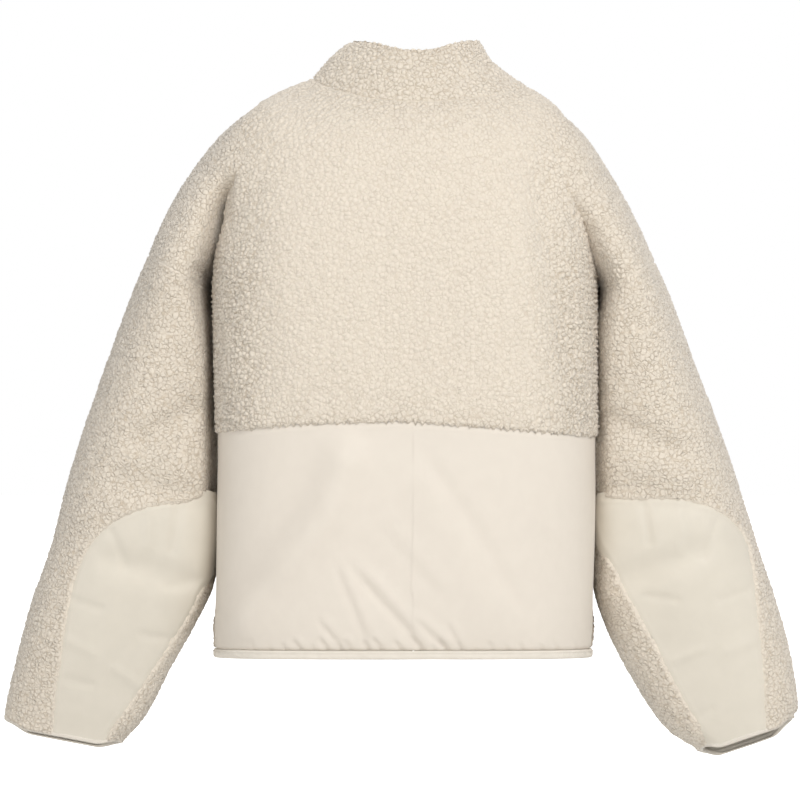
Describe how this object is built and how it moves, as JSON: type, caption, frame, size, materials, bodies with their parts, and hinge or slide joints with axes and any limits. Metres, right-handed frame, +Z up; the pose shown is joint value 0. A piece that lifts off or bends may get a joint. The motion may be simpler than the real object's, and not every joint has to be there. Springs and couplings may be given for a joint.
{
  "type": "sherpa jacket",
  "caption": "Cropped sherpa jacket with a stand collar, a full front zip, nylon lower back and elbow patches and bound hem and cuffs, filled out as if worn.",
  "frame": {"origin": "Middle of the neck opening, level with the points where the shoulders meet the collar.", "axes": "+Z up, the back of the jacket faces -Y, the zip faces +Y, +X is to the right seen from behind."},
  "size_m": [0.7981, 0.2703, 0.7233],
  "materials": {
    "sherpa_pile": "curled cream pile",
    "nylon": "plain weave with a soft sheen",
    "binding": "fine ribbed elastic",
    "zip_tape": "twill tape",
    "zip_teeth": "moulded teeth",
    "zip_metal": "satin plated metal"
  },
  "bodies": {
    "root": {"back_yoke": "sherpa_pile", "front_left": "sherpa_pile", "front_right": "sherpa_pile", "sleeve_left": "sherpa_pile", "sleeve_right": "sherpa_pile", "collar": "sherpa_pile", "back_lower_panel": "nylon", "elbow_patch_left": "nylon", "elbow_patch_right": "nylon", "hem_binding": "binding", "cuff_binding_left": "binding", "cuff_binding_right": "binding", "zip_tape_left": "zip_tape", "zip_tape_right": "zip_tape", "zip_chain": "zip_teeth", "zip_slider": "zip_metal"},
    "pull_tab": {"zip_pull": "zip_metal"}
  },
  "joints": [
    {"name": "pull_tab_hinge", "type": "hinge", "parent": "root", "child": "pull_tab", "pos_m": [0, 0.0763, -0.00368], "axis": [1, 0, 0], "range_deg": [0, 165]}
  ]
}
